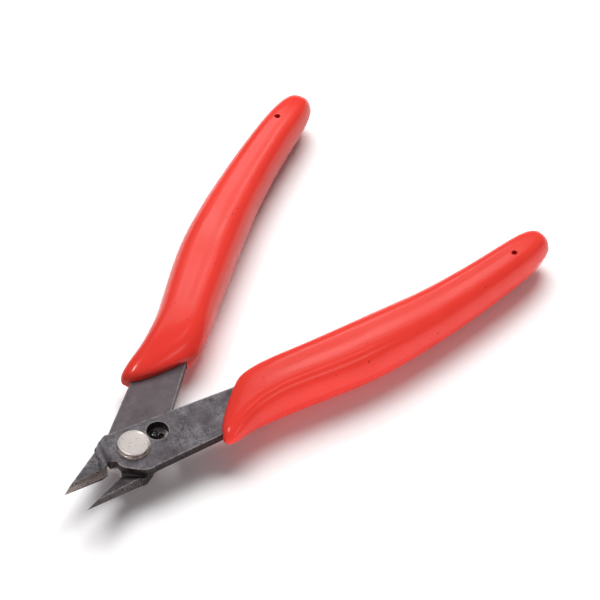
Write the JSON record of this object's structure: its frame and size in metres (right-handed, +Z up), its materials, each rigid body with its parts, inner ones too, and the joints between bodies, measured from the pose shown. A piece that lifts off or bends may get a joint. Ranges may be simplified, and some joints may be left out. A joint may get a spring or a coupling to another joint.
{
  "type": "diagonal cutting pliers",
  "caption": "Small flush diagonal cutters: two lapped blackened steel levers on a plated rivet, upturned pointed jaws, hidden return spring and red sleeve grips.",
  "frame": {"origin": "bottom centre of the bounding box, in the plane that the grips rest on, with the pliers sprung open", "axes": "+Y from the jaws towards the handle ends, along the line midway between the levers; +Z up, along the rivet's axis; +X towards the handle of the upper lever"},
  "size_m": [0.077, 0.1256, 0.0131],
  "materials": {
    "blackened_steel": "blackened, satin, with bare ground edges",
    "red_vinyl": "glossy moulded vinyl",
    "nickel_plate": "nickel plated, spun",
    "spring_steel": "drawn wire, lightly oiled"
  },
  "bodies": {
    "upper_lever_body": {"upper_lever": "blackened_steel", "right_grip": "red_vinyl", "pivot_rivet": "nickel_plate", "head_washer": "nickel_plate", "return_spring": "spring_steel"},
    "lower_lever_body": {"lower_lever": "blackened_steel", "left_grip": "red_vinyl", "spring_post": "spring_steel"}
  },
  "joints": [
    {"name": "pivot_close", "type": "hinge", "parent": "upper_lever_body", "child": "lower_lever_body", "pos_m": [0, -0.0428, 0.006], "axis": [0, 0, -1], "range_deg": [0, 18.4], "stiffness_Nm_per_rad": 0.4, "springref_deg": -14.32, "deforming": ["return_spring"]}
  ]
}
